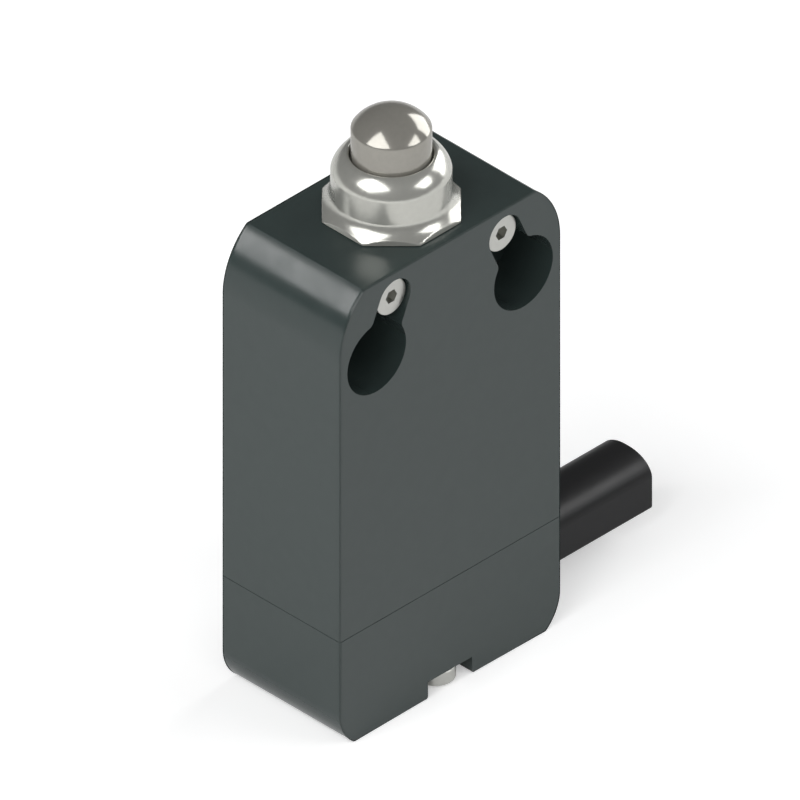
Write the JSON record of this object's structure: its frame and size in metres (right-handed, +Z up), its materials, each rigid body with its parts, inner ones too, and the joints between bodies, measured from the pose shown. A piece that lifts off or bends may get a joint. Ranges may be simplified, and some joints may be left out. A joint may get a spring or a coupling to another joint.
{
  "type": "limit switch",
  "caption": "Compact sealed limit switch: slim moulded body, domed metal plunger in an octagonal guide collar, keyhole recesses for the fixing screws and a side cable outlet.",
  "frame": {"origin": "on the flat back face, midway between the two fixing holes", "axes": "+X along the width towards the cable, +Y out of the back face (the front with the keyhole recesses faces -Y), +Z up along the plunger's axis towards its dome"},
  "size_m": [0.0472, 0.016, 0.0641],
  "materials": {
    "moulded_grey": "dark grey moulded plastic, fine satin texture",
    "polished_steel": "turned and polished stainless steel",
    "ground_steel": "finely ground stainless steel",
    "zinc_steel": "zinc plated steel",
    "brass": "turned brass",
    "contact_bronze": "spring bronze strip",
    "contact_silver": "silver alloy contact tips",
    "spring_wire": "drawn stainless spring wire",
    "seal_rubber": "black nitrile rubber",
    "block_plastic": "black moulded thermoset",
    "carrier_plastic": "natural acetal",
    "jacket_black": "black soft plastic cable jacket",
    "core_brown": "brown core insulation",
    "core_blue": "blue core insulation",
    "core_black": "black core insulation",
    "core_grey": "grey core insulation"
  },
  "bodies": {
    "body": {"housing": "moulded_grey", "bottom_cover": "moulded_grey", "cover_gasket": "seal_rubber", "head_screw_left": "zinc_steel", "head_screw_right": "zinc_steel", "head_insert_left": "brass", "head_insert_right": "brass", "cover_screw_front": "zinc_steel", "cover_screw_back": "zinc_steel", "cover_insert_front": "brass", "cover_insert_back": "brass", "guide_collar": "polished_steel", "guide_bush": "brass", "stem_o_ring": "seal_rubber", "collar_o_ring": "seal_rubber", "wiper_ring": "seal_rubber", "return_spring": "spring_wire", "carrier_spring": "spring_wire", "contact_block": "block_plastic", "block_cover": "block_plastic", "nc_terminal_left": "contact_bronze", "nc_terminal_right": "contact_bronze", "no_terminal_left": "contact_bronze", "no_terminal_right": "contact_bronze", "nc_fixed_tip_left": "contact_silver", "nc_fixed_tip_right": "contact_silver", "no_fixed_tip_left": "contact_silver", "no_fixed_tip_right": "contact_silver", "cable_jacket": "jacket_black", "core_brown": "core_brown", "core_blue": "core_blue", "core_black": "core_black", "core_grey": "core_grey", "cable_grommet": "seal_rubber", "cable_clamp": "block_plastic"},
    "plunger": {"plunger": "ground_steel", "contact_carrier": "carrier_plastic"},
    "nc_bridge": {"nc_bridge": "contact_bronze", "nc_moving_tip_left": "contact_silver", "nc_moving_tip_right": "contact_silver", "contact_spring": "spring_wire"},
    "no_bridge": {"no_bridge": "contact_bronze", "no_moving_tip_left": "contact_silver", "no_moving_tip_right": "contact_silver"}
  },
  "joints": [
    {"name": "plunger_slide", "type": "slide", "parent": "body", "child": "plunger", "axis": [0, 0, -1], "range_m": [0, 0.004], "stiffness_N_per_m": 1500, "springref_m": -0.003, "deforming": ["return_spring", "carrier_spring"]},
    {"name": "nc_bridge_slide", "type": "slide", "parent": "body", "child": "nc_bridge", "axis": [0, 0, -1], "range_m": [0, 0.00321], "deforming": ["contact_spring"]},
    {"name": "no_bridge_slide", "type": "slide", "parent": "body", "child": "no_bridge", "axis": [0, 0, -1], "range_m": [0, 0.00221]}
  ],
  "couplings": [
    {"joint": "nc_bridge_slide", "follows": "plunger_slide", "ratio": 0.8},
    {"joint": "no_bridge_slide", "follows": "plunger_slide", "ratio": 0.55}
  ]
}
